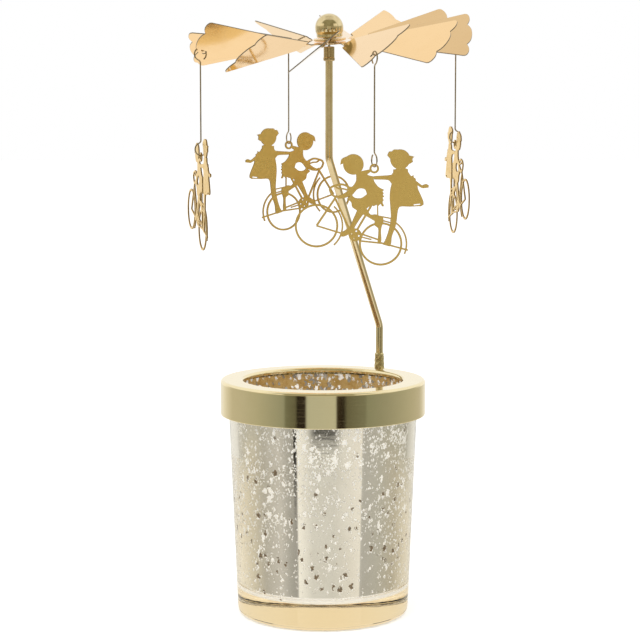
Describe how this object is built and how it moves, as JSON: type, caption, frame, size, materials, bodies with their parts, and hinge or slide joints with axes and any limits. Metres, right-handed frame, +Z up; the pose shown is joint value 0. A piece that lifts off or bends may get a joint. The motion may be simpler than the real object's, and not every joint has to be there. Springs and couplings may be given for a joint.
{
  "type": "candle carousel",
  "caption": "Glass tealight cup with a loose metal collar whose bent mast carries a needle-borne fan wheel that turns in the warm air with hanging charms",
  "frame": {"origin": "centre of the flat foot of the glass cup, on the surface that it stands on", "axes": "+Z up the cup and the fan's spin axis, +X to the right and -Y towards the picture's camera"},
  "size_m": [0.1033, 0.1099, 0.2227],
  "materials": {
    "clear_glass": "clear, with a speckled silver and brown mirror coating on the inside",
    "polished_brass": "polished pale brass",
    "mast_brass": "polished pale brass rod",
    "sleeve_brass": "satin pale brass",
    "needle_steel": "hardened steel",
    "gold_sheet": "mirror-bright gold-coloured sheet",
    "hanger_wire": "drawn wire",
    "charm_sheet": "satin gold-coloured sheet"
  },
  "bodies": {
    "cup": {"glass_cup": "clear_glass"},
    "collar_and_mast": {"collar_ring": "polished_brass", "mast": "mast_brass", "mast_foot_sleeve": "sleeve_brass", "mast_ferrule": "mast_brass", "pivot_needle": "needle_steel"},
    "bearing": {"bearing_cup": "needle_steel"},
    "fan": {"hub_bushing": "sleeve_brass", "cap_washer": "gold_sheet", "fan_wheel": "gold_sheet", "pivot_cap": "polished_brass"},
    "hanger_a": {"hanger_1": "hanger_wire"},
    "hanger_b": {"hanger_2": "hanger_wire"},
    "hanger_c": {"hanger_3": "hanger_wire"},
    "hanger_d": {"hanger_4": "hanger_wire"},
    "charm_a": {"charm_1": "charm_sheet"},
    "charm_b": {"charm_2": "charm_sheet"},
    "charm_c": {"charm_3": "charm_sheet"},
    "charm_d": {"charm_4": "charm_sheet"}
  },
  "joints": [
    {"name": "collar_lift", "type": "slide", "parent": "cup", "child": "collar_and_mast", "axis": [0, 0, 1], "range_m": [0, 0.03]},
    {"name": "fan_lift", "type": "slide", "parent": "collar_and_mast", "child": "bearing", "axis": [0, 0, 1], "range_m": [0, 0.012]},
    {"name": "fan_spin", "type": "hinge", "parent": "bearing", "child": "fan", "pos_m": [0.0022, 0, 0.2152], "axis": [0, 0, 1], "continuous": true},
    {"name": "hanger_a_swing", "type": "hinge", "parent": "fan", "child": "hanger_a", "pos_m": [0.04891, 0.01558, 0.21035], "axis": [0.381, -0.9246, 0], "range_deg": [-12, 35]},
    {"name": "charm_a_swing", "type": "hinge", "parent": "hanger_a", "child": "charm_a", "pos_m": [0.04891, 0.01558, 0.17279], "axis": [0.9919, 0.127, 0], "range_deg": [-30, 30]},
    {"name": "hanger_b_swing", "type": "hinge", "parent": "fan", "child": "hanger_b", "pos_m": [-0.01315, 0.04687, 0.20916], "axis": [0.9143, 0.405, 0], "range_deg": [-12, 35]},
    {"name": "charm_b_swing", "type": "hinge", "parent": "hanger_b", "child": "charm_b", "pos_m": [-0.01315, 0.04687, 0.17192], "axis": [-0.4616, 0.8871, 0], "range_deg": [-30, 30]},
    {"name": "hanger_c_swing", "type": "hinge", "parent": "fan", "child": "hanger_c", "pos_m": [-0.04324, -0.01536, 0.20448], "axis": [-0.4112, 0.9115, 0], "range_deg": [-12, 35]},
    {"name": "charm_c_swing", "type": "hinge", "parent": "hanger_c", "child": "charm_c", "pos_m": [-0.04324, -0.01536, 0.16887], "axis": [-0.9708, -0.2399, 0], "range_deg": [-30, 30]},
    {"name": "hanger_d_swing", "type": "hinge", "parent": "fan", "child": "hanger_d", "pos_m": [0.01733, -0.04555, 0.20241], "axis": [-0.924, -0.3823, 0], "range_deg": [-12, 35]},
    {"name": "charm_d_swing", "type": "hinge", "parent": "hanger_d", "child": "charm_d", "pos_m": [0.01733, -0.04555, 0.16575], "axis": [0.0241, -0.9997, 0], "range_deg": [-30, 30]}
  ]
}
